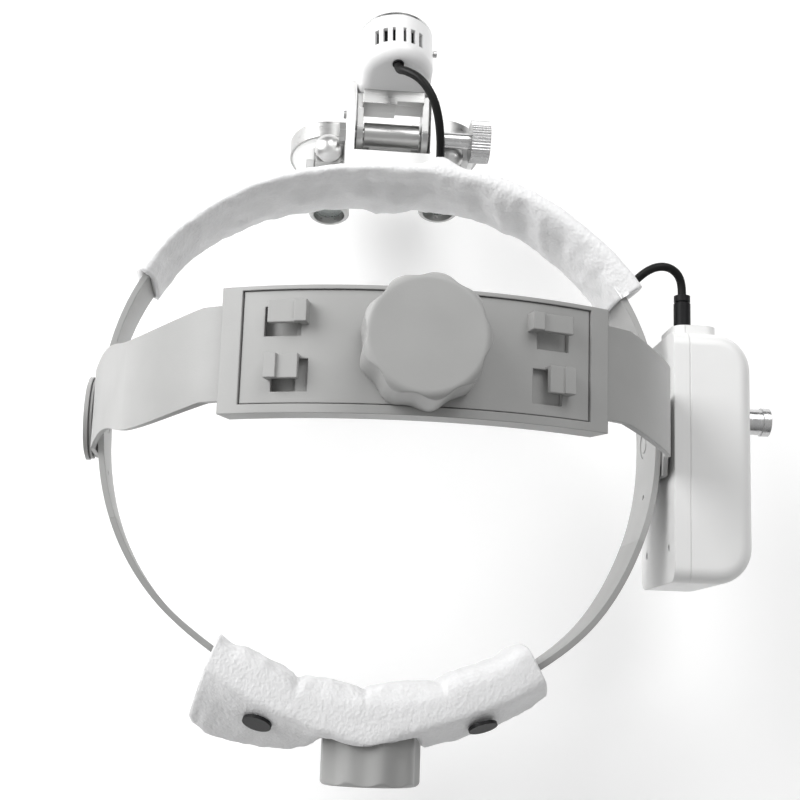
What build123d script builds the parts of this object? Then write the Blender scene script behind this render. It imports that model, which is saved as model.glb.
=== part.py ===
"""Headband with binocular loupes, a tilting head lamp and a side battery box.

Millimetres.  +X is the wearer's right, +Y the way the wearer looks, +Z up.
The origin is the middle of the head opening at half the height of the ring band.
"""
from build123d import *
from math import cos, sin, tan, radians, degrees, sqrt, atan2, pi
import os

os.makedirs("parts", exist_ok=True)

# ---- ring band --------------------------------------------------------------
RING_A = 86.0            # half width of the ring, outer face
RING_B = 81.2            # half length of the ring, outer face
RING_POWER = 2.2         # superellipse exponent of the plan outline
BAND_T = 1.8
BAND_Z = 12.0            # the band reaches this far above and below the origin
TAIL_ANGLE = 22.0        # degrees behind the X axis where the flexible tails begin
TAIL_LIFT = 2.0          # the right tail runs this far outside the left one at the back
TAIL_OVERLAP = 10.0      # degrees each tail reaches past the middle of the back
SLOT_EDGE = 6.7          # plain edge of a rack slot, from the pinion's axis
RACK_TIP = 4.7           # tooth tips on the other edge, from the pinion's axis
RACK_PITCH = 3.2
RACK_DEPTH = 1.5

# ---- side pivots ------------------------------------------------------------
PIVOT_Z = -3.0
PIN_R = 2.5
PIN_HEAD_R = 4.3         # inner head of a pivot pin, sunk in the band's inner face
PIN_HEAD_T = 0.8
RIVET_R = 12.8
RIVET_FACE = 90.9

# ---- crown strap and sleeve --------------------------------------------------
CROWN_R = 108.0          # outer radius of the sleeve's cover plate
CROWN_Z = 7.0            # height of the centre of the sleeve's arc
SLEEVE_HALF = 26.1       # degrees from the middle to each end of the sleeve
COVER_HALF = 23.3
SLEEVE_Y = (-16.8, 14.5)
COVER_Y = (-14.6, 13.5)
FLOOR_R = (101.5, 103.4)
CHANNEL_R = (103.4, 106.6)
STRAP_T = 1.4
STRAP_HALF = 12.0
STRAP_X = 87.5           # outer face of the upright lower end of the strap, outside the band
STRAP_LEAN = 14.5        # degrees the arms lean inwards above their lower ends
STRAP_Y = -0.9           # middle of the strap inside the sleeve
STRAP_BOW = -4.4         # how far the arms bow to the back below the shoulder
FOOT_TOP = 13.5

# ---- knobs -------------------------------------------------------------------
KNOB_R = 14.6
KNOB_LOBE = 0.6
KNOB_LOBES = 9
KNOB_H = 15.6
HUB_R = 4.0
PINION_R = 5.6
PINION_TEETH = 10
CROWN_SEAT = CROWN_Z + CROWN_R + 0.9
CROWN_HUB = 2.4          # hub length below the crown knob
REAR_HUB = 5.6           # hub length in front of the rear knob

# ---- rear housing and pad ----------------------------------------------------
REAR_LIFT = 3.0          # the tails, housing and pad bow this far outside the ring's line
REAR_SPAN = 34.0         # degrees each side of the back that the housing covers
PAD_SPAN = 39.0
REAR_SEAT_Y = -91.5      # back face of the seat of the rear knob
REAR_Z = 12.6
REAR_PAD_Z = (-16.0, 17.4)
FLAP_TOP = 6.9           # offset of the flaps' outer face at the pad's upper edge, less the lift
FLAP_Z = -5.0            # lower edge of the left flap
RIGHT_FLAP_Z = 4.0       # lower edge of the right flap
FLAP_LOW = {"left": 19.5, "right": 17.0}   # offset the flaps' faces reach at FLAP_Z
SNAPS = {"left": (248.5, 10.0), "right": (290.5, 12.0)}   # polar angle and height
SNAP_R = 4.4
SNAP_T = 1.0

# ---- front pad ---------------------------------------------------------------
FRONT_PAD_FROM = 31.0
FRONT_PAD_TO = 149.0
FRONT_PAD_Z = (-13.8, 15.5)

# ---- front bracket and hinge -------------------------------------------------
HINGE_Y = 99.3
HINGE_Z = -5.0
CHEEK_IN = 12.3
CHEEK_OUT = 15.0
BRACKET_FACE = 90.8
SHAFT_R = 2.0
KNUCKLE_R = 4.0
KNUCKLE_HALF = 9.0
EAR_R = 7.0
BRACKET_SCREW_XS = (-9.0, 9.0)

# ---- lamp ----------------------------------------------------------------------
LAMP_Y = 127.0
LAMP_Z = 4.0
LAMP_DOWN = 20.0         # degrees the lamp points below level
LAMP_R = 11.9
LAMP_L = 14.5            # from the lamp's reference plane to its back
LAMP_FRONT = 2.3         # from the reference plane to the housing's front edge
LAMP_FLOOR = -10.2
LAMP_CABLE_Z = 7.0      # height of the cable hole above the lamp's axis
LAMP_WALL = 1.4
VENT_ANGLES = (-36.5, -22.0, -8.5, 8.5, 22.0, 36.5)

# ---- loupes --------------------------------------------------------------------
LOUPE_X = 18.5
LOUPE_DOWN = 14.8
EYE_BACK = 16.6          # from a barrel's rod back to its eyepiece
EYE_Z = -25.5
BARREL_L = 28.5
RING_BACK = 22.6         # from the eyepiece's back to the objective ring
OBJECTIVE_R = 14.0
EYE_R = 6.75
CLAMP_X = 20.0
CLAMP_Y = 95.9
BAR_HALF = 24.2          # half length of the bar that guides the rods
LUG_END = 27.2           # outer end of the barrels' lugs
ROD_Z = -14.3
ROD_R = 1.25
ROD_YS = {"left": 94.4, "right": 97.6}

# ---- battery box ---------------------------------------------------------------
BOX_X = (88.5, 113.5)
BOX_Y = (-44.7, 33.3)
BOX_Z = (-22.0, 18.0)
BOX_SEAM = 93.6
BOX_WALL = 1.8
JACK_X = 95.0
JACK_Z = 4.0
DIAL_Y = 8.4
DIAL_Z = 2.0

# ---- cables ----------------------------------------------------------------------
LEAD_R = 1.35
PLUG_R = 2.7
PLUG_BACK = 48.0
PLUG_LEAD = [
    (74.0, 49.1, 1.0), (76.4, 50.2, 2.8), (79.4, 52.0, 5.0), (82.2, 54.6, 6.8), (85.8, 56.4, 7.6),
    (89.8, 56.6, 7.2), (93.2, 55.0, 5.6), (95.0, 52.0, 4.0), (95.0, PLUG_BACK, 4.0),
]
LAMP_LEAD = [
    (0.0, 115.2, 15.75), (0.0, 113.4, 16.4), (2.0, 112.2, 19.2), (6.8, 108.8, 21.7), (10.8, 103.0, 21.8),
    (12.9, 97.2, 20.0), (14.0, 91.6, 17.2), (14.5, 87.2, 13.8), (14.7, 83.9, 10.4), (14.7, 82.6, 8.9),
]

SIDES = {"left": -1, "right": 1}


def save(name, *solids):
    """Write one node as a STEP file."""
    shape = solids[0] if len(solids) == 1 else Compound(list(solids))
    export_step(shape, f"parts/{name}.step")


def block(x, y, z):
    """A box given by its limits along each axis."""
    size = [b - a for a, b in (x, y, z)]
    middle = [(a + b) / 2 for a, b in (x, y, z)]
    return Pos(*middle) * Box(*size)


def rod_x(radius, x0, x1, y, z):
    """A cylinder along X."""
    return Pos((x0 + x1) / 2, y, z) * Rot(0, 90, 0) * Cylinder(radius, abs(x1 - x0))


def rod_y(radius, y0, y1, x, z):
    """A cylinder along Y."""
    return Pos(x, (y0 + y1) / 2, z) * Rot(90, 0, 0) * Cylinder(radius, abs(y1 - y0))


def rod_z(radius, z0, z1, x, y):
    """A cylinder along Z."""
    return Pos(x, y, (z0 + z1) / 2) * Cylinder(radius, abs(z1 - z0))


def rod_between(radius, start, end):
    """A cylinder from one point to another."""
    start, end = Vector(start), Vector(end)
    return Plane(origin=(start + end) / 2, z_dir=end - start) * Cylinder(radius, (end - start).length)


# ---- the ring and everything that follows its curve -------------------------------

def ring_point(angle, offset=0.0):
    """The plan position on the ring at a polar angle, moved outwards by offset."""
    c, s = cos(radians(angle)), sin(radians(angle))
    n = RING_POWER
    r = ((abs(c) / RING_A) ** n + (abs(s) / RING_B) ** n) ** (-1 / n)
    x, y = r * c, r * s
    gx = abs(x) ** (n - 1) / RING_A ** n * (1 if x > 0 else -1)
    gy = abs(y) ** (n - 1) / RING_B ** n * (1 if y > 0 else -1)
    g = sqrt(gx * gx + gy * gy)
    return (x + offset * gx / g, y + offset * gy / g)


def ring_face(inner, outer, start, end, z):
    """A face at one height that follows the ring between two polar angles; offsets may be functions."""
    count = max(3, round(abs(end - start) / 7))
    angles = [start + (end - start) * i / count for i in range(count + 1)]
    out = [ring_point(a, outer(a) if callable(outer) else outer) for a in angles]
    into = [ring_point(a, inner(a) if callable(inner) else inner) for a in angles]
    edges = [
        Spline(*out),
        Line(out[-1], into[-1]),
        Spline(*reversed(into)),
        Line(into[0], out[0]),
    ]
    return Pos(0, 0, z) * make_face(Curve() + edges)


def ring_wall(inner, outer, start, end, z):
    """An upright wall that follows the ring between two polar angles."""
    return extrude(ring_face(inner, outer, start, end, z[0]), z[1] - z[0])


def ease(t):
    """Smooth step from 0 to 1."""
    t = min(1.0, max(0.0, t))
    return t * t * (3 - 2 * t)


def rear_lift(angle):
    """Extra offset of everything behind the head, full over the middle of the back."""
    return REAR_LIFT * ease((40 - abs(270 - angle)) / 25)


def tail_rise(side):
    """Offset of a tail: the right one climbs outside the left one on its way back."""
    def rise(angle):
        over = TAIL_LIFT if side == "right" else 0.0
        return rear_lift(angle) + over * ease((360 - TAIL_ANGLE - angle) / 30)
    return rise


def rack_slot(length, depth):
    """A cutter for a rack slot along X: a straight slot with tooth gaps down its upper edge."""
    slot = block((-length / 2, length / 2), (-depth / 2, depth / 2), (-SLOT_EDGE, RACK_TIP))
    gaps = int(length / 2 / RACK_PITCH)
    for i in range(-gaps, gaps):
        x = (i + 0.5) * RACK_PITCH
        width = (x - RACK_PITCH / 4, x + RACK_PITCH / 4)
        slot += block(width, (-depth / 2, depth / 2), (RACK_TIP - 0.2, RACK_TIP + RACK_DEPTH))
    return slot


def ring_band():
    band = ring_wall(-BAND_T, 0, -TAIL_ANGLE, 180 + TAIL_ANGLE, (-BAND_Z, BAND_Z))
    for s in SIDES.values():
        band -= rod_x(PIN_R, s * 80, s * 90, 0, PIVOT_Z)
        band -= rod_x(PIN_HEAD_R, s * 80, s * (RING_A - BAND_T + PIN_HEAD_T), 0, PIVOT_Z)
        band -= rod_x(0.8, s * 80, s * 90, -17.5, PIVOT_Z + 5)
    for x in BRACKET_SCREW_XS:
        band -= rod_y(1.25, 70, 90, x, -4)
    return band


def band_tail(side):
    rise = tail_rise(side)
    if side == "left":
        low, high = 180 + TAIL_ANGLE, 270 + TAIL_OVERLAP
    else:
        low, high = 270 - TAIL_OVERLAP, 360 - TAIL_ANGLE
    tail = ring_wall(lambda a: rise(a) - BAND_T, rise, low, high, (-BAND_Z, BAND_Z))
    teeth = 0 if side == "left" else 180
    return tail - Pos(0, -RING_B - REAR_LIFT, 0) * Rot(teeth, 0, 0) * rack_slot(20, 9)


def front_pad_cover():
    cover = ring_wall(-5.5, 3.4, FRONT_PAD_FROM, FRONT_PAD_TO, FRONT_PAD_Z)
    cover -= ring_wall(-4.4, 0.1, FRONT_PAD_FROM - 2, FRONT_PAD_TO + 2, (-BAND_Z - 0.1, BAND_Z + 0.1))
    window = block((-CHEEK_OUT - 0.3, CHEEK_OUT + 0.3), (70, 90), (-12.3, 4.3))
    cover -= window & ring_wall(0, 8, 60, 120, (-13, 8))
    for a, b in zip(LAMP_LEAD[-4:], LAMP_LEAD[-3:]):
        cover -= rod_between(LEAD_R + 0.5, a, b)
    for a, b in zip(PLUG_LEAD[:2], PLUG_LEAD[1:3]):
        cover -= rod_between(LEAD_R + 0.5, a, b)
    return cover


def front_pad_foam():
    foam = ring_wall(-4.3, -BAND_T - 0.1, FRONT_PAD_FROM + 1, FRONT_PAD_TO - 1, (-BAND_Z, BAND_Z))
    for x in BRACKET_SCREW_XS:
        foam -= rod_y(3.0, 70, 90, x, -4)
    return foam


def pivot_pin(side):
    """Shank through the strap's foot and the band, with its head sunk in the band's inner face."""
    s = SIDES[side]
    face = RING_A - BAND_T
    pin = rod_x(PIN_R - 0.02, s * face, s * (STRAP_X + 0.1), 0, PIVOT_Z)
    return pin + rod_x(PIN_HEAD_R - 0.1, s * (face + 0.2), s * (face + PIN_HEAD_T), 0, PIVOT_Z)


def left_rivet():
    """Turned rivet: cap, groove and neck outside the strap, and its pin."""
    rivet = rod_x(RIVET_R, -RIVET_FACE + 0.4, -RIVET_FACE + 1.5, 0, PIVOT_Z)
    rivet += rod_x(RIVET_R - 1.2, -RIVET_FACE, -RIVET_FACE + 1.9, 0, PIVOT_Z)
    rivet += rod_x(RIVET_R - 0.4, -RIVET_FACE + 1.9, -RIVET_FACE + 2.6, 0, PIVOT_Z)
    rivet += rod_x(9.8, -RIVET_FACE + 2.6, -STRAP_X - 0.1, 0, PIVOT_Z)
    return rivet + pivot_pin("left")


def right_pivot():
    """Spacer between the strap and the battery box, and its pin."""
    return rod_x(9.0, STRAP_X + 0.1, BOX_X[0], 0, PIVOT_Z) + pivot_pin("right")


# ---- crown strap, sleeve and knob ---------------------------------------------------

def polar(radius, angle):
    """A point on an arc about the sleeve's centre, angle measured from straight up."""
    return (radius * sin(radians(angle)), CROWN_Z + radius * cos(radians(angle)))


def crown_sector(radii, half, y):
    """Part of a cylinder wall about the sleeve's centre."""
    inner, outer = radii
    edges = [
        ThreePointArc(polar(outer, -half), polar(outer, 0), polar(outer, half)),
        Line(polar(outer, half), polar(inner, half)),
        ThreePointArc(polar(inner, half), polar(inner, 0), polar(inner, -half)),
        Line(polar(inner, -half), polar(outer, -half)),
    ]
    face = Plane.XZ * make_face(Curve() + edges)
    return Pos(0, y[1], 0) * extrude(face, y[1] - y[0])


def strap_line(radius, inset):
    """Side profile of one face of the right arm: sleeve arc, shoulder arc, leaning end."""
    turn, lean = radians(SLEEVE_HALF), radians(STRAP_LEAN)
    x1, z1 = polar(radius, SLEEVE_HALF)
    x2 = STRAP_X - inset / cos(lean)
    # the sleeve arc's end runs on to the corner where it meets the leaning line
    run = ((x2 - x1) * cos(lean) - (z1 - FOOT_TOP) * sin(lean)) / cos(turn + lean)
    corner = (x1 + run * cos(turn), z1 - run * sin(turn))
    end = (corner[0] + run * sin(lean), corner[1] - run * cos(lean))
    half = (pi / 2 - lean - turn) / 2
    bend = run / tan(half)
    middle = (x1 - bend * (sin(turn) - sin(turn + half)), z1 - bend * (cos(turn) - cos(turn + half)))
    return [
        ThreePointArc(polar(radius, -16), polar(radius, 5), (x1, z1)),
        ThreePointArc((x1, z1), middle, end),
        Line(end, (x2, FOOT_TOP)),
    ]


def tongue_radius(side):
    """Outer radius of a tongue; the right one lies on the left one."""
    return CHANNEL_R[0] + STRAP_T + 0.1 if side == "left" else CHANNEL_R[1] - 0.1


def strap_arm(side):
    """A flat strap bent over the head, with a bowed outline and a rack slot in its tongue."""
    outer = tongue_radius(side)
    faces = strap_line(outer, 0), strap_line(outer - STRAP_T, STRAP_T)
    ends = [Line(f0 @ p, f1 @ p) for f0, f1, p in (
        (faces[0][0], faces[1][0], 0), (faces[0][2], faces[1][2], 1))]
    profile = Plane.XZ * make_face(Curve() + faces[0] + faces[1] + ends)
    arm = extrude(profile, 30, both=True)
    middles = [(0, FOOT_TOP), (STRAP_BOW * 0.4, 58), (STRAP_BOW, 80), (STRAP_Y, 97.5), (STRAP_Y, 120)]
    front = [(y + STRAP_HALF, z) for y, z in middles]
    back = [(y - STRAP_HALF, z) for y, z in middles]
    outline = Plane.YZ * make_face(Curve() + [
        Spline(*front[:4]), Line(front[3], front[4]), Line(front[4], back[4]),
        Line(back[4], back[3]), Spline(*reversed(back[:4])), Line(back[0], front[0])])
    arm = arm & extrude(outline, 120, both=True)
    teeth = 90 if side == "left" else -90
    arm -= Pos(0, STRAP_Y, CROWN_Z + outer) * Rot(teeth, 0, 0) * rack_slot(26, 8)
    return mirror(arm, Plane.YZ) if side == "left" else arm


def strap_foot(side):
    """The stiff lower end of an arm, round the pivot pin."""
    s = SIDES[side]
    outer = s * STRAP_X
    plate = block(sorted((outer, outer - s * STRAP_T)), (-STRAP_HALF, STRAP_HALF), (PIVOT_Z, FOOT_TOP))
    plate += rod_x(STRAP_HALF, outer, outer - s * STRAP_T, 0, PIVOT_Z)
    return plate - rod_x(PIN_R + 0.08, s * 70, s * 90, 0, PIVOT_Z)


def sleeve_tray():
    """Curved trough that the two tongues slide through, with a bridge at each end."""
    tray = crown_sector((FLOOR_R[0], CROWN_R + 0.5), SLEEVE_HALF, SLEEVE_Y)
    tray -= crown_sector(CHANNEL_R, SLEEVE_HALF + 1, (STRAP_Y - 12.2, STRAP_Y + 12.2))
    return tray - crown_sector((CHANNEL_R[1], CROWN_R + 2), COVER_HALF, COVER_Y)


HOOKS = (
    # window: arc limits and Y limits; hook: arc limits and Y limits; arc place of its raised tip
    ((-38.0, -28.8), (2.0, 9.3), (-36.5, -26.9), (4.8, 10.2), -28.4),
    ((-35.8, -26.8), (-11.6, -3.6), (-36.6, -28.6), (-8.8, -2.9), -35.2),
    ((29.0, 37.6), (1.9, 11.0), (26.4, 37.4), (5.9, 10.3), 27.9),
    ((28.0, 36.0), (-11.6, -3.0), (31.2, 37.6), (-9.0, -2.4), 36.4),
)
HOOK_HIGH = 2.8
TIP = (3.0, 0.8)


def on_cover(along, y, solid):
    """Place a solid drawn flat on the cover's top at an arc length from the middle."""
    angle = degrees(along / CROWN_R)
    x, z = polar(CROWN_R, angle)
    return Pos(x, y, z) * Rot(0, angle, 0) * solid


def cover_block(along, y, z):
    """A box on the cover: arc limits, Y limits and heights above its top."""
    middle = sum(along) / 2
    half = (along[1] - along[0]) / 2
    return on_cover(middle, 0, block((-half, half), y, z))


def sleeve_cover():
    """Snap-in cover plate with four moulded hooks, each over its own window."""
    y_limits = (COVER_Y[0] + 0.3, COVER_Y[1] - 0.2)
    cover = crown_sector((CHANNEL_R[1] + 0.1, CROWN_R), COVER_HALF - 0.2, y_limits)
    for window, window_y, hook, hook_y, tip in HOOKS:
        cover -= cover_block(window, window_y, (-4, 4))
        slab = cover_block(hook, hook_y, (-0.2, HOOK_HIGH))
        slab += cover_block((tip - TIP[0] / 2, tip + TIP[0] / 2), hook_y, (0.5, HOOK_HIGH + TIP[1]))
        slab -= cover_block((window[0], window[1]), (window_y[0], window_y[1]), (-1, 1.4))
        cover += slab
    return cover - rod_z(HUB_R + 0.05, 105, 120, 0, STRAP_Y)


def lobed_prism(radius, lobe, lobes, height):
    """A knob body whose outline swells and dips evenly round the rim."""
    count = lobes * 6
    ring = []
    for i in range(count):
        a = 2 * pi * i / count
        r = radius + lobe * cos(lobes * a)
        ring.append((r * cos(a), r * sin(a)))
    return extrude(make_face(Spline(*ring, periodic=True)), height)


def knob(hub_length):
    """Adjusting knob standing on the XY plane, with its hub below."""
    body = lobed_prism(KNOB_R, KNOB_LOBE, KNOB_LOBES, KNOB_H)
    limit = Cylinder(KNOB_R + KNOB_LOBE + 0.1, KNOB_H)
    body &= Pos(0, 0, KNOB_H / 2) * fillet(limit.edges().group_by(Axis.Z)[-1], 2.2)
    body += Pos(0, 0, -hub_length / 2) * Cylinder(HUB_R, hub_length)
    return body


def pinion(height):
    """Small spur gear on the XY plane, pressed on the end of a knob's hub."""
    gear = Cylinder(PINION_R - 1.0, height)
    for i in range(PINION_TEETH):
        gear += Rot(0, 0, 360 * i / PINION_TEETH) * Pos(PINION_R - 1.2, 0, 0) * Box(2.2, 1.3, height)
    return Pos(0, 0, height / 2) * gear


def on_crown(solid):
    return Pos(0, STRAP_Y, CROWN_SEAT) * solid


# ---- rear housing, knob and pad --------------------------------------------------------

def rear_arc(inner, outer, span, z):
    """A wall behind the head, with its offsets counted from the tails' line."""
    return ring_wall(
        lambda a: inner + rear_lift(a), lambda a: outer + rear_lift(a), 270 - span, 270 + span, z)


def rear_housing():
    """Inner shell behind the head, with end and edge walls for the tails to run in."""
    shell = rear_arc(-3.4, 2.4, REAR_SPAN, (-REAR_Z - 1.6, REAR_Z + 1.6))
    shell -= rear_arc(-2.0, 2.6, REAR_SPAN + 3, (-REAR_Z, REAR_Z))
    return shell


def rear_housing_cover():
    """Outer shell with the round seat of the size knob."""
    shell = rear_arc(2.4, 4.8, REAR_SPAN, (-REAR_Z - 1.6, REAR_Z + 1.6))
    shell += rod_y(KNOB_R + 1.2, -RING_B - 5, REAR_SEAT_Y, 0, 0) - rear_arc(-10, 2.4, 30, (-20, 20))
    return shell - rod_y(HUB_R + 0.05, -70, -100, 0, 0)


def at_rear(solid):
    """Turn a solid drawn on the XY plane so that it points backwards from the seat."""
    return Pos(0, REAR_SEAT_Y - 0.4, 0) * Rot(90, 0, 0) * solid


def flap_low(angle):
    """Offset of the flaps' outer face at their lower edge, turning from right to left."""
    return FLAP_LOW["right"] + (FLAP_LOW["left"] - FLAP_LOW["right"]) * ease((278 - angle) / 16)


def flap_top(angle):
    """Offset of the flaps' outer face at the pad's upper edge."""
    return FLAP_TOP + rear_lift(angle)


def rear_pad_cover():
    """Leather cover folded round foam and housing, with a leaning flap each side of the knob."""
    ends = 270 - PAD_SPAN, 270 + PAD_SPAN
    low = ring_face(lambda a: rear_lift(a) - 6.5, flap_low, *ends, FLAP_Z)
    high = ring_face(lambda a: rear_lift(a) - 6.5, flap_top, *ends, REAR_PAD_Z[1])
    cover = loft([low, high]) + rear_arc(-6.5, 7.6, PAD_SPAN, (REAR_PAD_Z[0], FLAP_Z))
    cover -= ring_wall(10.6, 25, 270, 315, (FLAP_Z - 1, RIGHT_FLAP_Z))
    cover -= rear_arc(-5.5, 4.9, PAD_SPAN + 2, (-REAR_Z - 1.7, REAR_Z + 1.7))
    return cover - rod_y(KNOB_R + 1.4, -82, -110, 0, 0)


def rear_pad_foam():
    return rear_arc(-5.4, -3.5, REAR_SPAN, (-REAR_Z - 1.2, REAR_Z + 1.2))


def rear_pad_snaps():
    """Two press studs on the outside of the rear pad."""
    snaps = []
    height = REAR_PAD_Z[1] - FLAP_Z
    for side, (angle, z) in SNAPS.items():
        spread = FLAP_LOW[side] - flap_top(angle)
        x, y = ring_point(angle, flap_top(angle) + spread * (REAR_PAD_Z[1] - z) / height)
        x0, y0 = ring_point(angle)
        turn = degrees(atan2(y - y0, x - x0))
        lean = 90 - degrees(atan2(spread, height))
        stud = Pos(0, 0, SNAP_T / 2 + 0.15) * Cylinder(SNAP_R, SNAP_T)
        snaps.append(Pos(x, y, z) * Rot(0, 0, turn) * Rot(0, lean, 0) * stud)
    return snaps


# ---- front bracket and hinge -----------------------------------------------------------

def front_bracket():
    """Block on the band with two cheeks that carry the hinge shaft."""
    base = block((-CHEEK_OUT, CHEEK_OUT), (74, BRACKET_FACE), (-12, 4))
    outline = Plane.YZ * make_face(Polyline(
        (86, -11), (101, -11), (115.3, -7), (115.3, 1), (104, 4), (86, 4), (86, -11)))
    for s in SIDES.values():
        cheek = extrude(outline, (CHEEK_OUT - CHEEK_IN) / 2, both=True)
        base += Pos(s * (CHEEK_IN + CHEEK_OUT) / 2, 0, 0) * cheek
    base -= rod_x(SHAFT_R + 0.05, -20, 20, HINGE_Y, HINGE_Z)
    for x in BRACKET_SCREW_XS:
        base -= rod_y(1.25, 70, 86.2, x, -4)
    return base - ring_wall(-20, 0.05, 55, 125, (-20, 20))


def bracket_screws():
    """Two screws through the band into the bracket, and the set screw of the left cheek."""
    screws = [rod_y(2.6, 76.9, 78.6, x, -4) + rod_y(1.2, 78.6, 86.0, x, -4) for x in BRACKET_SCREW_XS]
    screws.append(rod_x(1.3, -CHEEK_OUT - 0.8, -CHEEK_OUT, HINGE_Y + 6.2, HINGE_Z + 1))
    return screws


def hinge_nut():
    """Nut of the hinge shaft on the outside of the left cheek."""
    blank = extrude(RegularPolygon(3.6, 6), 1.0, both=True)
    nut = Pos(-CHEEK_OUT - 1.0, HINGE_Y, HINGE_Z) * Rot(0, 90, 0) * blank
    return nut - rod_x(SHAFT_R + 0.1, -20, 0, HINGE_Y, HINGE_Z)


def hinge_thumbscrew():
    """Hinge shaft with a shoulder and a knurled head on the wearer's right."""
    screw = rod_x(SHAFT_R, -17.0, 16.0, HINGE_Y, HINGE_Z)
    screw += rod_x(2.6, CHEEK_OUT + 0.4, 26.2, HINGE_Y, HINGE_Z)
    head = Pos(26.2, HINGE_Y, HINGE_Z) * Rot(0, 90, 0) * lobed_prism(6.8, 0.2, 44, 6.2)
    return screw + head - rod_x(3.0, 31.6, 34, HINGE_Y, HINGE_Z)


# ---- lamp ---------------------------------------------------------------------------------

def on_lamp(solid):
    """Place a solid drawn with the lamp's front at the origin, pointing along +Y."""
    return Pos(0, LAMP_Y, LAMP_Z) * Rot(-LAMP_DOWN, 0, 0) * solid


def arch(radius, floor, y0, y1):
    """Prism along Y: half round on top, straight sides, flat floor."""
    face = Plane.XZ * make_face(Curve() + [
        ThreePointArc((-radius, 0), (0, radius), (radius, 0)),
        Line((radius, 0), (radius, floor)),
        Line((radius, floor), (-radius, floor)),
        Line((-radius, floor), (-radius, 0))])
    return Pos(0, y1, 0) * extrude(face, y1 - y0)


def lamp_housing():
    shell = arch(LAMP_R, LAMP_FLOOR, -LAMP_L, LAMP_FRONT)
    shell = fillet(shell.faces().sort_by(Axis.Y)[0].edges(), 4.0)
    shell -= arch(LAMP_R - LAMP_WALL, LAMP_FLOOR + LAMP_WALL, -LAMP_L + LAMP_WALL, LAMP_FRONT + 2)
    for angle in VENT_ANGLES:
        width = 0.9 if abs(angle) < 10 else 1.5
        shell -= Rot(0, angle, 0) * Pos(0, -6.2, LAMP_R) * Box(width, 6.0, 5)
    shell -= rod_y(LEAD_R + 0.5, -LAMP_L - 1, -LAMP_L + 3, 0, LAMP_CABLE_Z)
    shell -= block((LAMP_R - 3, LAMP_R + 2), (-3.5, 0.7), (-1.1, 1.1))
    return on_lamp(shell)


def lamp_bezel():
    """Bright front ring."""
    return on_lamp(rod_y(11.9, LAMP_FRONT, 3.3, 0, 0) - rod_y(9.9, 0, 4, 0, 0))


def lamp_heat_sink():
    """Finned disc that takes the heat of the light source."""
    sink = rod_y(7.4, -12.6, -8.4, 0, -1)
    for z in (-6.0, -3.5, -1, 1.5, 4.0):
        sink -= block((-9, 9), (-12.7, -10.0), (z - 0.5, z + 0.5))
    return on_lamp(sink)


def lamp_led():
    """Light source: board and domed emitter."""
    board = rod_y(7.4, -8.4, -7.4, 0, 0)
    return on_lamp(board + Pos(0, -7.4, 0) * (Sphere(1.8) & Pos(0, 2, 0) * Box(6, 4, 6)))


def lamp_lens_carrier():
    """Focusing lens in its sliding ring."""
    carrier = rod_y(8.6, -5.0, -2.4, 0, 0) - rod_y(7.4, -6, 0, 0, 0)
    return on_lamp(carrier)


def lamp_lens():
    dome = Pos(0, -10.5, 0) * Sphere(10.2) & rod_y(7.4, -3.4, 3, 0, 0)
    lens = rod_y(7.4, -4.4, -3.4, 0, 0) + dome
    return on_lamp(lens)


def lamp_focus_pin():
    """Small bright pin on the lamp's right side that moves the lens."""
    return on_lamp(rod_x(0.8, 8.8, 12.8, -2.4, 0) + rod_x(1.1, 12.2, 13.3, -2.4, 0))


def lamp_arm():
    """Lower block of the lamp with two ears on the hinge shaft."""
    arm = block((-9.9, 9.9), (106.9, 117), (-8, 4)) - block((1, 11), (100, 108.0), (-9, 5))
    for s in SIDES.values():
        ear = rod_x(EAR_R, s * 9.6, s * 11.6, HINGE_Y, HINGE_Z)
        ear += block(sorted((s * 9.6, s * 11.6)), (HINGE_Y, 117), (-8, HINGE_Z + EAR_R))
        arm += ear
    arm -= rod_x(SHAFT_R + 0.05, -20, 20, HINGE_Y, HINGE_Z)
    return arm - on_lamp(arch(LAMP_R, LAMP_FLOOR, -LAMP_L, 20))


def lamp_grommet():
    """Soft bush where the cable leaves the lamp."""
    return on_lamp(rod_y(LEAD_R + 0.45, -LAMP_L - 0.4, -LAMP_L + 1.3, 0, LAMP_CABLE_Z))


# ---- loupes ---------------------------------------------------------------------------------

def loupe_yoke():
    """Hinge knuckle with a web down to the twin-bore bar of the width adjustment."""
    yoke = rod_x(KNUCKLE_R, -KNUCKLE_HALF, KNUCKLE_HALF, HINGE_Y, HINGE_Z)
    yoke += block((-7, 7), (95.6, 98.6), (-13, HINGE_Z))
    yoke += block((-BAR_HALF, BAR_HALF), (92.6, 99.3), (-16.2, -12.6))
    yoke -= rod_x(SHAFT_R + 0.05, -20, 20, HINGE_Y, HINGE_Z)
    for s in SIDES.values():
        yoke += block(sorted((s * (CLAMP_X - 4), s * BAR_HALF)), (91.4, 99.3), (-16.2, -11.2))
        yoke -= rod_z(1.3, -13, -10, s * CLAMP_X, CLAMP_Y)
    for y in ROD_YS.values():
        yoke -= rod_x(ROD_R + 0.05, -30, 30, y, ROD_Z)
    return yoke


def on_loupe(side, solid):
    """Place a solid drawn with the eyepiece's back at the origin, pointing along +Y."""
    return Pos(SIDES[side] * LOUPE_X, ROD_YS[side] - EYE_BACK, EYE_Z) * Rot(-LOUPE_DOWN, 0, 0) * solid


def turned(points):
    """Solid of revolution about Y from (distance along the axis, radius) points."""
    ring = [(0, points[0][0])] + [(r, y) for y, r in points] + [(0, points[-1][0])]
    face = make_face(Polyline(*ring, ring[0]))
    return revolve(face, Axis.Y)


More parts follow.
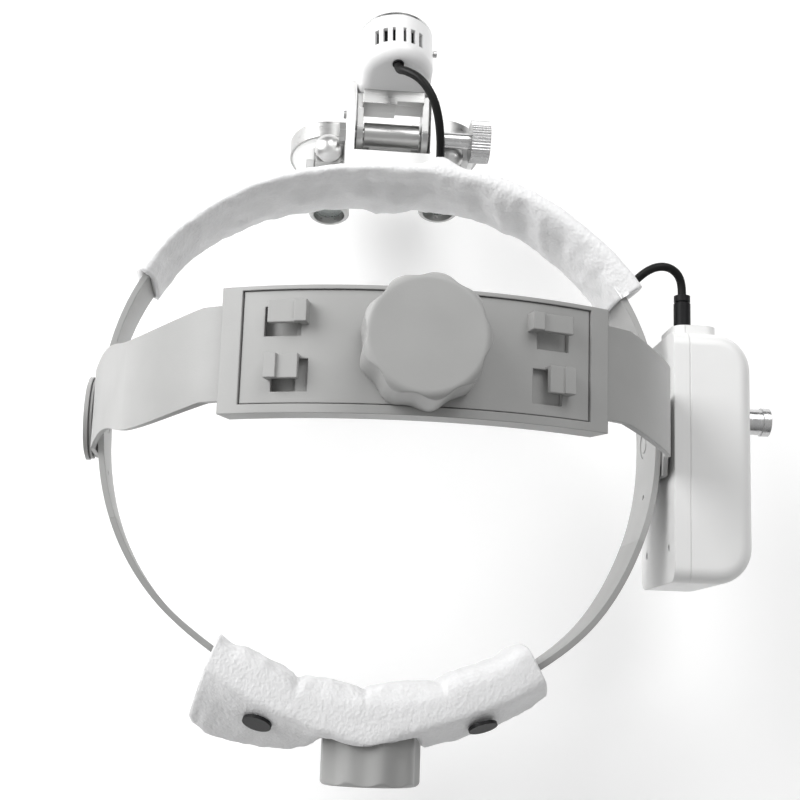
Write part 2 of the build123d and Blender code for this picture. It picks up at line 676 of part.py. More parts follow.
def loupe_barrel(side):
    """Tapered body with the lug that holds its rod."""
    s = SIDES[side]
    y = ROD_YS[side]
    body = turned([(3.4, 6.9), (6.0, 7.6), (RING_BACK - 1.2, 12.4), (RING_BACK, 13.4)])
    body -= turned([(3.0, 5.4), (6.0, 6.2), (RING_BACK, 11.8)])
    solid = on_loupe(side, body)
    lug = block(sorted((s * (BAR_HALF + 0.4), s * LUG_END)), (y - 2.1, y + 2.1), (-26, -12.5))
    lug -= on_loupe(side, turned([(2.0, 6.6), (6.0, 7.2), (RING_BACK - 1.2, 12.0), (31, 16.0)]))
    lug -= on_loupe(side, rod_y(20, RING_BACK, 35, 0, 0))
    return solid + lug - rod_x(ROD_R, s * 10, s * 40, y, ROD_Z)


def objective_ring(side):
    """Bright ring round the front lens."""
    ring = rod_y(OBJECTIVE_R, RING_BACK, BARREL_L, 0, 0)
    ring -= rod_y(11.9, RING_BACK - 1, BARREL_L + 1, 0, 0)
    return on_loupe(side, ring)


def objective_lens(side):
    middle = RING_BACK + 2.8
    lens = rod_y(11.9, middle - 2.0, middle, 0, 0)
    cap = Pos(0, middle - 33.0, 0) * Sphere(35.1) & rod_y(11.8, middle - 0.4, BARREL_L - 0.1, 0, 0)
    return on_loupe(side, lens + cap)


def eyepiece(side):
    """Eye ring with the recess of the rear lens."""
    ring = turned([(0, 6.0), (0.6, EYE_R), (3.4, EYE_R)])
    ring -= turned([(-1, 5.6), (0, 5.2), (2.2, 4.7), (2.21, 4.7), (4, 4.7)])
    return on_loupe(side, ring)


def eye_lens(side):
    return on_loupe(side, rod_y(4.7, 2.2, 3.4, 0, 0))


def pd_rod(side):
    """Rod that carries a barrel in the yoke's bore."""
    s = SIDES[side]
    return rod_x(ROD_R, -s * 20, s * LUG_END, ROD_YS[side], ROD_Z)


def clamp_knob(side):
    """Domed clamp knob on the bar."""
    x = SIDES[side] * CLAMP_X
    dome = Pos(x, CLAMP_Y, -12.24) * Sphere(5.34) & rod_z(4.7, -10.9, -6.0, x, CLAMP_Y)
    return dome + rod_z(1.2, -12.6, -10.9, x, CLAMP_Y)


# ---- battery box ------------------------------------------------------------------------------

def box_form(inset):
    """Rounded outer form of the battery box, shrunk all round by an inset."""
    form = block((BOX_X[0] + inset, BOX_X[1] - inset), (BOX_Y[0] + inset, BOX_Y[1] - inset),
                 (BOX_Z[0] + inset, BOX_Z[1] - inset))
    upright = form.edges().filter_by(Axis.Z).group_by(Axis.X)[-1]
    form = fillet(upright, 11.5 - inset)
    rim = [e for e in form.edges() if e.center().X > BOX_X[0] + inset + 0.5 and abs(
        abs(e.center().Z - sum(BOX_Z) / 2) - (BOX_Z[1] - BOX_Z[0]) / 2 + inset) < 0.01]
    return fillet(rim, 4.5 - inset)


def box_shell():
    """The whole hollow case, with the raised nose round the socket."""
    nose = block((90.0, 104.0), (BOX_Y[1] - 2, BOX_Y[1] + 3.0), (-6.0, 13.0))
    nose = fillet(nose.edges().filter_by(Axis.Y), 4.0)
    shell = box_form(0) + nose - box_form(BOX_WALL)
    shell -= rod_y(4.05, BOX_Y[1] - 6, BOX_Y[1] + 1.4, JACK_X, JACK_Z)
    return shell - rod_y(PLUG_R + 0.4, BOX_Y[1], BOX_Y[1] + 5, JACK_X, JACK_Z)


def battery_inner_shell(shell):
    half = shell & block((60, BOX_SEAM), (-80, 80), (-60, 60))
    for y, z in ((-34, -15), (-34, 11), (22, -15), (22, 11)):
        half += rod_x(2.6, BOX_X[0] + 1, BOX_SEAM, y, z)
        half -= rod_x(1.1, BOX_X[0] - 1, BOX_SEAM + 1, y, z)
    return half


def battery_outer_cover(shell):
    half = shell & block((BOX_SEAM, 140), (-80, 80), (-60, 60))
    return half - rod_x(3.0, 108, 120, DIAL_Y, DIAL_Z)


def battery_screws():
    """Four screws that close the case from its inner face."""
    return [rod_x(1.0, BOX_X[0] + 0.2, BOX_SEAM - 0.2, y, z)
            for y, z in ((-34, -15), (-34, 11), (22, -15), (22, 11))]


def battery_cells():
    """Two flat cells side by side."""
    return [block((x, x + 4.8), (-30, 18), (-12, 8)) for x in (94.0, 99.0)]


def battery_board():
    """Circuit board behind the cells, with a driver chip."""
    return block((105.0, 106.4), (-24, 24), (-14, 10)) + block((103.9, 105.0), (-18, -10), (-4, 4))


def dc_jack():
    """Socket in the nose of the case that takes the lamp's plug."""
    jack = rod_y(4.0, BOX_Y[1] - 5.5, BOX_Y[1] + 1.4, JACK_X, JACK_Z)
    return jack - rod_y(2.0, BOX_Y[1] - 4.5, BOX_Y[1] + 3, JACK_X, JACK_Z)


def dimmer():
    """Brightness potentiometer with its threaded bush."""
    pot = block((106.4, 111.0), (DIAL_Y - 5, DIAL_Y + 5), (DIAL_Z - 5, DIAL_Z + 5))
    pot += rod_x(3.0, 111.0, 113.4, DIAL_Y, DIAL_Z)
    return pot - rod_x(1.55, 107.4, 116, DIAL_Y, DIAL_Z)


def brightness_knob():
    """Bright turned knob with a stepped rim, on its spindle."""
    dial = rod_x(4.1, 113.9, 120.8, DIAL_Y, DIAL_Z) + rod_x(4.5, 120.8, 123.3, DIAL_Y, DIAL_Z)
    return dial + rod_x(1.5, 108.4, 113.9, DIAL_Y, DIAL_Z)


# ---- cables --------------------------------------------------------------------------------------

def lead(points, name):
    """Round cable on a path of straight runs and tangent arcs."""
    radii = []
    for a, b, c in zip(points, points[1:], points[2:]):
        u, v = Vector(b) - Vector(a), Vector(c) - Vector(b)
        half_turn = radians(u.get_angle(v)) / 2
        radii.append(0.45 * min(u.length, v.length) / (sin(half_turn) / cos(half_turn)))
    print(name, "bend radii", [round(r, 1) for r in radii])
    path = FilletPolyline(*points, radius=radii)
    start = Plane(origin=points[0], z_dir=Vector(points[1]) - Vector(points[0]))
    tube = sweep(start * Circle(LEAD_R), path=path)
    print(name, "length", round(path.length, 1), "volume ratio",
          round(tube.volume / (pi * LEAD_R ** 2 * path.length), 3))
    return tube


def dc_plug():
    """Moulded plug with a grooved grip and its contact pin in the socket."""
    y0 = BOX_Y[1] + 3.1
    plug = rod_y(PLUG_R, y0, PLUG_BACK - 2.6, JACK_X, JACK_Z)
    plug += rod_y(PLUG_R - 0.5, PLUG_BACK - 2.6, PLUG_BACK - 2.0, JACK_X, JACK_Z)
    plug += rod_y(PLUG_R - 0.1, PLUG_BACK - 2.0, PLUG_BACK, JACK_X, JACK_Z)
    return plug + rod_y(1.9, BOX_Y[1] - 3.5, y0, JACK_X, JACK_Z)


def save_all():
    save("ring_band", ring_band())
    save("left_rivet", left_rivet())
    save("right_pivot", right_pivot())
    save("front_pad_cover", front_pad_cover())
    save("front_pad_foam", front_pad_foam())
    for side in SIDES:
        save(f"band_tail_{side}", band_tail(side))
        save(f"strap_arm_{side}", strap_arm(side))
        save(f"strap_foot_{side}", strap_foot(side))

    save("sleeve_tray", sleeve_tray())
    save("sleeve_cover", sleeve_cover())
    save("crown_knob", on_crown(knob(CROWN_HUB)))
    save("crown_pinion", on_crown(Pos(0, 0, -CROWN_HUB - 2.6) * pinion(2.6)))

    save("rear_housing", rear_housing())
    save("rear_housing_cover", rear_housing_cover())
    save("rear_pad_cover", rear_pad_cover())
    save("rear_pad_foam", rear_pad_foam())
    save("rear_pad_snaps", *rear_pad_snaps())
    save("rear_knob", at_rear(knob(REAR_HUB)))
    save("rear_pinion", at_rear(Pos(0, 0, -REAR_HUB - 3.6) * pinion(3.6)))

    save("front_bracket", front_bracket())
    save("bracket_screws", *bracket_screws())
    save("hinge_nut", hinge_nut())
    save("hinge_thumbscrew", hinge_thumbscrew())

    save("lamp_housing", lamp_housing())
    save("lamp_bezel", lamp_bezel())
    save("lamp_heat_sink", lamp_heat_sink())
    save("lamp_led", lamp_led())
    save("lamp_lens_carrier", lamp_lens_carrier())
    save("lamp_lens", lamp_lens())
    save("lamp_focus_pin", lamp_focus_pin())
    save("lamp_arm", lamp_arm())
    save("lamp_grommet", lamp_grommet())

    save("loupe_yoke", loupe_yoke())
    for side in SIDES:
        save(f"barrel_{side}", loupe_barrel(side))
        save(f"objective_ring_{side}", objective_ring(side))
        save(f"lens_set_{side}", objective_lens(side), eye_lens(side))
        save(f"eyepiece_{side}", eyepiece(side))
        save(f"pd_rod_{side}", pd_rod(side))
        save(f"clamp_knob_{side}", clamp_knob(side))

    shell = box_shell()
    save("battery_inner_shell", battery_inner_shell(shell))
    save("battery_outer_cover", battery_outer_cover(shell))
    save("battery_screws", *battery_screws())
    save("battery_cells", *battery_cells())
    save("battery_board", battery_board())
    save("dc_jack", dc_jack())
    save("dimmer", dimmer())
    save("brightness_knob", brightness_knob())

    save("dc_plug", dc_plug())
    save("plug_lead", lead(PLUG_LEAD, "plug lead"))
    save("lamp_lead", lead(LAMP_LEAD, "lamp lead"))


save_all()
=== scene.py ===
"""Looks for the headband with loupes: pads, cables, trim and materials round the CAD frame.

Lengths in the tables are millimetres in the CAD frame; MM turns them into metres.
"""

from math import cos, exp, pi, radians, sin, sqrt

import bmesh
import bpy
from mathutils import Matrix, Vector, noise


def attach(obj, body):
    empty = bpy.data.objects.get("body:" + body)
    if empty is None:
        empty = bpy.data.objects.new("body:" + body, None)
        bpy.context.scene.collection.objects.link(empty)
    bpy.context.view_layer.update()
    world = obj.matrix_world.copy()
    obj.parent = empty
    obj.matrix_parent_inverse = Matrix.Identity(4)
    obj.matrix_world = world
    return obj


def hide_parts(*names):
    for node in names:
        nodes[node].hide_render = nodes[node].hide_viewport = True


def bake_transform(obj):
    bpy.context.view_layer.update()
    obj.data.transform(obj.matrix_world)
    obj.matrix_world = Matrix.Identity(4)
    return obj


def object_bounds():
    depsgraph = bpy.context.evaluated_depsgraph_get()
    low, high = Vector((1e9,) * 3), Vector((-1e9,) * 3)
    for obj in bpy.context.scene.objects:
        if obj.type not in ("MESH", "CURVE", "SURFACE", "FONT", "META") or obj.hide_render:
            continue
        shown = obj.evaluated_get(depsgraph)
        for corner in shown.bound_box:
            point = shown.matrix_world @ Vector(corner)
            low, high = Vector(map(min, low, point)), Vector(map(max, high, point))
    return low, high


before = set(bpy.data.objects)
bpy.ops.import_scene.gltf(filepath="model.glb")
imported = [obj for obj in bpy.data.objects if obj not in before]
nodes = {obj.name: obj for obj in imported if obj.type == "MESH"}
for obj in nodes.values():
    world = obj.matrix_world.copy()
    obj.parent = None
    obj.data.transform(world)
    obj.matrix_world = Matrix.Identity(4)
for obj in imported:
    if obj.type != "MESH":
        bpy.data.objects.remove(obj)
cad_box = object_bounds()

MM = 0.001

# ---- the ring's plan curve, as in the CAD ---------------------------------------
RING_A = 86.0
RING_B = 81.2
RING_POWER = 2.2


def ring_point(angle, offset=0.0):
    """The plan position on the ring at a polar angle, moved outwards by offset."""
    c, s = cos(radians(angle)), sin(radians(angle))
    n = RING_POWER
    r = ((abs(c) / RING_A) ** n + (abs(s) / RING_B) ** n) ** (-1 / n)
    x, y = r * c, r * s
    gx = abs(x) ** (n - 1) / RING_A ** n * (1 if x > 0 else -1)
    gy = abs(y) ** (n - 1) / RING_B ** n * (1 if y > 0 else -1)
    g = sqrt(gx * gx + gy * gy)
    return x + offset * gx / g, y + offset * gy / g


def ease(t):
    """Smooth step from 0 to 1."""
    t = min(1.0, max(0.0, t))
    return t * t * (3 - 2 * t)


def bell(x, width):
    """A rounded bump of height 1 round zero."""
    return exp(-(x / width) ** 2)


def table(rows, x):
    """Value at x from (x, value) rows in rising order, eased between rows."""
    if x <= rows[0][0]:
        return rows[0][1]
    for (x0, v0), (x1, v1) in zip(rows, rows[1:]):
        if x <= x1:
            t = (x - x0) / (x1 - x0)
            return v0 + (v1 - v0) * (0.5 * t + 0.5 * ease(t))
    return rows[-1][1]


# ---- materials -------------------------------------------------------------------

def nodes_of(material):
    return material.node_tree.nodes, material.node_tree.links


def new_material(name, color, roughness, metallic=0.0, **sockets):
    """A Principled material with plain values on its own sockets."""
    material = bpy.data.materials.new(name)
    material.use_nodes = True
    shader = material.node_tree.nodes["Principled BSDF"]
    shader.inputs["Base Color"].default_value = (*color, 1)
    shader.inputs["Roughness"].default_value = roughness
    shader.inputs["Metallic"].default_value = metallic
    for key, value in sockets.items():
        shader.inputs[key.replace("_", " ")].default_value = value
    return material, shader


def coords(material, scale=(1, 1, 1)):
    """Object coordinates, stretched by scale."""
    tree, links = nodes_of(material)
    place = tree.new("ShaderNodeTexCoord")
    mapping = tree.new("ShaderNodeMapping")
    mapping.inputs["Scale"].default_value = scale
    links.new(place.outputs["Object"], mapping.inputs["Vector"])
    return mapping.outputs["Vector"]


def noise_tex(material, vector, scale, detail=3.0, rough=0.5):
    tree, links = nodes_of(material)
    tex = tree.new("ShaderNodeTexNoise")
    tex.inputs["Scale"].default_value = scale
    tex.inputs["Detail"].default_value = detail
    tex.inputs["Roughness"].default_value = rough
    links.new(vector, tex.inputs["Vector"])
    return tex.outputs["Fac"]


def spread(material, factor, low, high, low_at=0.3, high_at=0.7):
    """Maps a factor to a range of numbers."""
    tree, links = nodes_of(material)
    ramp = tree.new("ShaderNodeMapRange")
    ramp.inputs["From Min"].default_value = low_at
    ramp.inputs["From Max"].default_value = high_at
    ramp.inputs["To Min"].default_value = low
    ramp.inputs["To Max"].default_value = high
    links.new(factor, ramp.inputs["Value"])
    return ramp.outputs["Result"]


def tint(material, shader, factor, dark, light, low_at=0.3, high_at=0.7):
    """Colours the base between two tones by a factor."""
    tree, links = nodes_of(material)
    ramp = tree.new("ShaderNodeValToRGB")
    ramp.color_ramp.elements[0].position = low_at
    ramp.color_ramp.elements[0].color = (*dark, 1)
    ramp.color_ramp.elements[1].position = high_at
    ramp.color_ramp.elements[1].color = (*light, 1)
    links.new(factor, ramp.inputs["Fac"])
    links.new(ramp.outputs["Color"], shader.inputs["Base Color"])


def bump(material, shader, height, distance, strength=1.0, rounded=0.0):
    """Bump of a real height in metres, over edges rounded to a radius in metres."""
    tree, links = nodes_of(material)
    node = tree.new("ShaderNodeBump")
    node.inputs["Strength"].default_value = strength
    node.inputs["Distance"].default_value = distance
    links.new(height, node.inputs["Height"])
    if rounded:
        edge = tree.new("ShaderNodeBevel")
        edge.samples = 4
        edge.inputs["Radius"].default_value = rounded
        links.new(edge.outputs["Normal"], node.inputs["Normal"])
    links.new(node.outputs["Normal"], shader.inputs["Normal"])


def shade(color, factor):
    return tuple(c * factor for c in color)


def moulded(name, color, roughness, edge=0.0004, grain=0.00002, mottle=0.04):
    """Moulded plastic: fine grain, faint flow mottling, edges broken by a small radius."""
    material, shader = new_material(name, color, roughness)
    vector = coords(material)
    broad = noise_tex(material, vector, 60, 4)
    tint(material, shader, broad, shade(color, 1 - mottle), shade(color, 1 + mottle))
    links = nodes_of(material)[1]
    fine = noise_tex(material, vector, 1800, 2)
    patches = noise_tex(material, vector, 25, 2)
    links.new(spread(material, patches, roughness - 0.06, roughness + 0.08), shader.inputs["Roughness"])
    bump(material, shader, fine, grain, 1.0, edge)
    return material


def metal(name, color, roughness, brush=(40, 900, 900), edge=0.0003, streak=0.08):
    """Satin or bright metal with fine tool marks along one axis."""
    material, shader = new_material(name, color, roughness, 1.0)
    marks = noise_tex(material, coords(material, brush), 1.0, 3, 0.6)
    links = nodes_of(material)[1]
    links.new(spread(material, marks, roughness - 0.05, roughness + 0.1), shader.inputs["Roughness"])
    tint(material, shader, marks, shade(color, 1 - streak), color)
    bump(material, shader, marks, 0.00001, 0.6, edge)
    return material


GRAIN_SCALE = 950          # cells per metre of the leather's pebbled grain
CREASE_SCALE = 800
CREASE_WEIGHT = 2.6        # height of the creases next to the grain's
LEATHER_RELIEF = 0.00011   # metres
FOLD_Z = (0.008, 0.0145)   # painted shade: the leather's colour is darker below the fold at its upper edge


def leather(name, color):
    """White leatherette: pebbled grain and fine creases, with painted shade in the crease valleys and below
    the upper fold.
    """
    material, shader = new_material(name, color, 0.5)
    tree, links = nodes_of(material)
    vector = coords(material)
    warp = noise_tex(material, vector, 220, 3)
    mix = tree.new("ShaderNodeVectorMath")
    mix.operation = "MULTIPLY_ADD"
    mix.inputs[1].default_value = (0.0015, 0.0015, 0.0015)
    links.new(warp, mix.inputs[0])
    links.new(vector, mix.inputs[2])
    cells = tree.new("ShaderNodeTexVoronoi")
    cells.feature = "SMOOTH_F1"
    cells.inputs["Scale"].default_value = GRAIN_SCALE
    cells.inputs["Smoothness"].default_value = 0.35
    links.new(mix.outputs["Vector"], cells.inputs["Vector"])
    creases = noise_tex(material, coords(material, (1, 0.6, 1.4)), CREASE_SCALE, 4, 0.55)
    height = tree.new("ShaderNodeMath")
    height.operation = "MULTIPLY_ADD"
    height.inputs[1].default_value = CREASE_WEIGHT
    links.new(creases, height.inputs[0])
    links.new(cells.outputs["Distance"], height.inputs[2])
    split = tree.new("ShaderNodeSeparateXYZ")
    links.new(vector, split.inputs["Vector"])
    # painted shade: the base colour darkens below the fold and in the crease valleys
    tone = tree.new("ShaderNodeMath")
    tone.operation = "MULTIPLY"
    links.new(spread(material, split.outputs["Z"], 0.25, 1.0, *FOLD_Z), tone.inputs[0])
    links.new(spread(material, creases, 0.75, 1.0, 0.32, 0.52), tone.inputs[1])
    tint(material, shader, tone.outputs[0], shade(color, 0.86), color, 0.2, 1.0)
    links.new(spread(material, cells.outputs["Distance"], 0.42, 0.6), shader.inputs["Roughness"])
    bump(material, shader, height.outputs[0], LEATHER_RELIEF)
    shader.inputs["Sheen Weight"].default_value = 0.15
    return material


GREY = (0.355, 0.355, 0.35)
WHITE = (0.76, 0.76, 0.755)
mat = {
    "strap": moulded("strap_grey", GREY, 0.42),
    "knob": moulded("knob_grey", (0.345, 0.345, 0.34), 0.40, 0.0008),
    "tail": moulded("tail_grey", (0.32, 0.32, 0.315), 0.45),
    "white": moulded("case_white", WHITE, 0.33, 0.0007, 0.000012, 0.015),
    "lamp_white": moulded("lamp_white", (0.82, 0.82, 0.82), 0.3, 0.0005, 0.00001, 0.015),
    "pearl": metal("pearl_metal", (0.8, 0.8, 0.795), 0.42, (40, 900, 900), 0.0004, 0.03),
    "satin": metal("satin_metal", (0.52, 0.52, 0.515), 0.3),
    "dome": metal("dome_metal", (0.66, 0.66, 0.655), 0.32),
    "bright": metal("bright_metal", (0.6, 0.6, 0.6), 0.2, (600, 60, 600)),
    "steel": metal("steel", (0.45, 0.45, 0.45), 0.3),
    "black": moulded("black_plastic", (0.008, 0.008, 0.009), 0.45, 0.0003),
    "rubber": moulded("black_rubber", (0.008, 0.008, 0.008), 0.42, 0.0, 0.00002),
    "leather": leather("white_leather", (0.82, 0.82, 0.825)),
    "foam": moulded("foam", (0.7, 0.7, 0.66), 0.9, 0.0, 0.0002),
    "board": moulded("circuit_board", (0.02, 0.14, 0.06), 0.4),
    "cell": moulded("cell_wrap", (0.08, 0.16, 0.38), 0.3),
    "phosphor": moulded("phosphor", (0.75, 0.62, 0.12), 0.4),
}
glass, glass_shader = new_material("coated_glass", (0.93, 0.97, 0.96), 0.02)
glass_shader.inputs["Transmission Weight"].default_value = 1.0
glass_shader.inputs["IOR"].default_value = 1.52
glass_smear = noise_tex(glass, coords(glass), 120, 3)
nodes_of(glass)[1].new(spread(glass, glass_smear, 0.01, 0.05), glass_shader.inputs["Roughness"])
mat["glass"] = glass
for key in ("black", "rubber"):       # duller than the shader's usual plastic
    mat[key].node_tree.nodes["Principled BSDF"].inputs["Specular IOR Level"].default_value = 0.2

NODE_MATERIALS = {
    "strap": ["ring_band", "left_rivet", "right_pivot", "strap_arm_left", "strap_arm_right",
              "strap_foot_left", "strap_foot_right", "sleeve_tray", "sleeve_cover",
              "rear_housing", "rear_housing_cover", "crown_pinion", "rear_pinion"],
    "tail": ["band_tail_left", "band_tail_right"],
    "knob": ["crown_knob", "rear_knob"],
    "white": ["battery_inner_shell", "battery_outer_cover", "barrel_left", "barrel_right"],
    "lamp_white": ["lamp_housing"],
    "pearl": ["front_bracket"],
    "satin": ["lamp_arm", "loupe_yoke", "hinge_nut", "objective_ring_left", "objective_ring_right",
              "eyepiece_left", "eyepiece_right"],
    "dome": ["clamp_knob_left", "clamp_knob_right"],
    "bright": ["hinge_thumbscrew", "lamp_bezel", "lamp_focus_pin", "brightness_knob",
               "pd_rod_left", "pd_rod_right"],
    "steel": ["bracket_screws", "battery_screws"],
    "black": ["rear_pad_snaps", "lamp_heat_sink", "lamp_lens_carrier", "lamp_grommet", "dc_jack",
              "dimmer", "dc_plug"],
    "rubber": ["plug_lead", "lamp_lead"],
    "leather": ["front_pad_cover", "rear_pad_cover"],
    "foam": ["front_pad_foam", "rear_pad_foam"],
    "board": ["battery_board"],
    "cell": ["battery_cells"],
    "phosphor": ["lamp_led"],
    "glass": ["lamp_lens", "lens_set_left", "lens_set_right"],
}
for key, names in NODE_MATERIALS.items():
    for node_name in names:
        for slot in nodes[node_name].material_slots:
            slot.link = "OBJECT"
            slot.material = mat[key]


# ---- camera, floor and light ---------------------------------------------------------
CAMERA_AT = (-0.0348, -0.0833, 0.460)
CAMERA_RIGHT = (0.99504, 0.03291, 0.09386)
CAMERA_BACK = (-0.08554, -0.19842, 0.97638)
FLOOR_SIZE = 6.0
FLOOR_GAP = 0.012


def add_camera():
    """Camera above and behind the wearer's left, looking down at the crown."""
    data = bpy.data.cameras.new("camera")
    data.lens = 67.5
    data.sensor_width = 36
    data.clip_start = 0.01
    camera = bpy.data.objects.new("camera", data)
    right, back = Vector(CAMERA_RIGHT), Vector(CAMERA_BACK)
    up = back.cross(right).normalized()
    right = up.cross(back).normalized()
    turn = Matrix((right, up, back.normalized())).transposed().to_4x4()
    camera.matrix_world = Matrix.Translation(CAMERA_AT) @ turn
    bpy.context.scene.collection.objects.link(camera)
    bpy.context.scene.camera = camera


def add_area(name, at, size, power, aim=(0, 0, 0.03)):
    """A round soft light aimed at the object."""
    data = bpy.data.lights.new(name, "AREA")
    data.shape = "DISK"
    data.size = size
    data.energy = power
    lamp = bpy.data.objects.new(name, data)
    lamp.location = at
    lamp.rotation_euler = (Vector(aim) - Vector(at)).to_track_quat("-Z", "Y").to_euler()
    bpy.context.scene.collection.objects.link(lamp)


def add_floor():
    """Plain pale floor a little below the object."""
    bpy.ops.mesh.primitive_plane_add(size=FLOOR_SIZE, location=(0, 0, cad_box[0][2] - FLOOR_GAP))
    floor = bpy.context.object
    floor.name = "floor"
    material, shader = new_material("floor_white", (0.93, 0.93, 0.93), 0.9)
    cloudy = noise_tex(material, coords(material), 3, 2)
    tint(material, shader, cloudy, (0.925, 0.925, 0.925), (0.935, 0.935, 0.935))
    shader.inputs["Emission Color"].default_value = (1, 1, 1, 1)
    shader.inputs["Emission Strength"].default_value = 0.17
    floor.data.materials.append(material)


def add_world():
    """Soft surround: bright overhead, dimmer towards the horizon."""
    world = bpy.data.worlds.new("world")
    bpy.context.scene.world = world
    world.use_nodes = True
    tree, links = world.node_tree.nodes, world.node_tree.links
    place = tree.new("ShaderNodeTexCoord")
    split = tree.new("ShaderNodeSeparateXYZ")
    ramp = tree.new("ShaderNodeValToRGB")
    ramp.color_ramp.elements[0].position = 0.05
    ramp.color_ramp.elements[0].color = (0.12, 0.12, 0.12, 1)
    ramp.color_ramp.elements[1].position = 0.9
    ramp.color_ramp.elements[1].color = (0.56, 0.56, 0.56, 1)
    links.new(place.outputs["Generated"], split.inputs["Vector"])
    links.new(split.outputs["Z"], ramp.inputs["Fac"])
    links.new(ramp.outputs["Color"], tree["Background"].inputs["Color"])


add_camera()
add_floor()
add_world()
add_area("key", (-0.98, 0.55, 0.58), 1.1, 17.5)
add_area("front", (0.35, 0.85, 0.95), 0.9, 7)
bpy.context.scene.view_settings.view_transform = "Standard"


# ---- mesh helpers ----------------------------------------------------------------------

def mesh_piece(name, verts, faces, material, body):
    """A smooth mesh object that rides on a body."""
    mesh = bpy.data.meshes.new(name)
    mesh.from_pydata([Vector(v) * MM for v in verts], [], faces)
    mesh.update()
    for polygon in mesh.polygons:
        polygon.use_smooth = True
    mesh.materials.append(material)
    piece = bpy.data.objects.new(name, mesh)
    bpy.context.scene.collection.objects.link(piece)
    fix_normals(piece)
    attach(piece, body)
    return piece


def fix_normals(piece):
    """Points every face outwards."""
    work = bmesh.new()
    work.from_mesh(piece.data)
    bmesh.ops.recalc_face_normals(work, faces=work.faces)
    work.to_mesh(piece.data)
    work.free()


def grid_faces(rows, columns, closed_rows=False, closed_columns=False):
    """Quads of a grid of rows by columns points."""
    faces = []
    for i in range(rows if closed_rows else rows - 1):
        for j in range(columns if closed_columns else columns - 1):
            i1, j1 = (i + 1) % rows, (j + 1) % columns
            faces.append((i * columns + j, i * columns + j1, i1 * columns + j1, i1 * columns + j))
    return faces


def closed_curve(points, count):
    """Points spaced evenly along a smooth closed curve through a few control points."""
    n = len(points)
    fine = []
    for i in range(n):
        p0, p1, p2, p3 = (Vector(points[(i + k) % n]) for k in (-1, 0, 1, 2))
        for step in range(10):
            t = step / 10
            fine.append(0.5 * (2 * p1 + (p2 - p0) * t + (2 * p0 - 5 * p1 + 4 * p2 - p3) * t * t
                               + (3 * p1 - p0 - 3 * p2 + p3) * t ** 3))
    fine.append(fine[0])
    lengths = [0.0]
    for a, b in zip(fine, fine[1:]):
        lengths.append(lengths[-1] + (b - a).length)
    result, k = [], 0
    for i in range(count):
        goal = lengths[-1] * i / count
        while lengths[k + 1] < goal:
            k += 1
        t = (goal - lengths[k]) / max(1e-9, lengths[k + 1] - lengths[k])
        result.append(fine[k].lerp(fine[k + 1], t))
    return result


def spaced(first, last, steps):
    """Evenly spaced values from first to last."""
    return [first + (last - first) * i / steps for i in range(steps + 1)]


LINING_REACH = 3      # degrees that the turned-in ends reach back over the band


def wrapped_pad(name, angles, section, relief, sleeve, columns, body, nodes_replaced, skew=None):
    """A leather sleeve round the band: outer skin, turned-in ends and a short inner lining."""
    loops = []
    inner_loop = closed_curve(sleeve, columns)
    for angle in angles:
        loop = closed_curve(section(angle), columns)
        loops.append([(angle, p.x + relief(angle, p.x, p.y), p.y) for p in loop])
    first, last = angles[0], angles[-1]
    before, after = (
        [[(angle, p.x, p.y) for p in inner_loop] for angle in pair]
        for pair in ((first + LINING_REACH, first), (last, last - LINING_REACH)))
    loops = before + loops + after
    verts = []
    for loop in loops:
        for angle, offset, z in loop:
            x, y = ring_point(angle + (skew(angle, offset) if skew else 0.0), offset)
            verts.append((x, y, z))
    faces = grid_faces(len(loops), columns, closed_columns=True)
    pad = mesh_piece(name, verts, faces, mat["leather"], body)
    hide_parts(*nodes_replaced)
    return pad


# ---- front pad ---------------------------------------------------------------------------
FRONT_FROM = 30.8
FRONT_TO = 150.2
# offsets from the ring's outer face by polar angle
FRONT_INNER_LOW = [(30, -2.6), (38, -2.7), (46, -2.9), (55, -2.5), (63, -2.7), (70, -2.7), (75, -3.3),
                   (83, -4.2), (88.6, -6.2), (92, -6.0), (97, -4.5), (104, -4.3), (108, -4.8),
                   (117, -4.1), (125, -3.7), (134, -2.6), (143, -2.6), (151, -3.4)]
FRONT_INNER_TOP = [(31, 1.6), (36, -0.4), (49, -1.8), (62, -2.5), (74, -2.4), (82, -2.2), (101, -2.6),
                   (114, -2.1), (128, -1.9), (137, -1.8), (146, -2.4), (151, -3.4)]
FRONT_OUTER_TOP = [(31, 5.6), (36, 4.9), (47, 4.1), (60, 4.2), (70, 4.0), (80, 2.6), (97, 1.5),
                   (127, 1.7), (140, 2.0), (151, 1.8)]
# dents of the inner face: polar angle, depth (a puff where it is negative) and width in degrees
FRONT_DENTS = [(68, 1.6, 1.9), (57.5, 1.8, 1.9), (47, 1.6, 1.9), (63, -0.7, 1.5), (52.5, -0.7, 1.5),
               (80, 0.6, 2.5), (93, 1.0, 2.2), (101, 0.7, 2.6), (117, 0.8, 2.8), (126, 0.5, 2.6),
               (135, 0.6, 3), (142, 0.4, 2.2)]
LINING = -2.05        # the cover's inner face stays inside the band's
HUMP_AT = 79.8        # polar angle of the hump over the lamp's cable
DENT_LEAN = 0.22      # degrees a dent leans per millimetre of height


def front_section(angle):
    """Control points (offset, height) of the front pad's outline at an angle."""
    low = table(FRONT_INNER_LOW, angle)
    top = table(FRONT_INNER_TOP, angle)
    out = table(FRONT_OUTER_TOP, angle)
    middle = min(low, -3.4) - 0.9
    return [(low, -12.6), (middle, -7), (middle, 1), (min(top, -2.4) - 0.9, 9), (min(top, -2.2), 12.6),
            (0.5 * (top + out) - 0.5, 15.3), (out - 0.5, 15.0), (out, 13), (max(out, 3.0), 8), (3.3, 0),
            (3.1, -8), (2.2, -12.6), (0.2, -14.0), (low * 0.6, -13.9)]


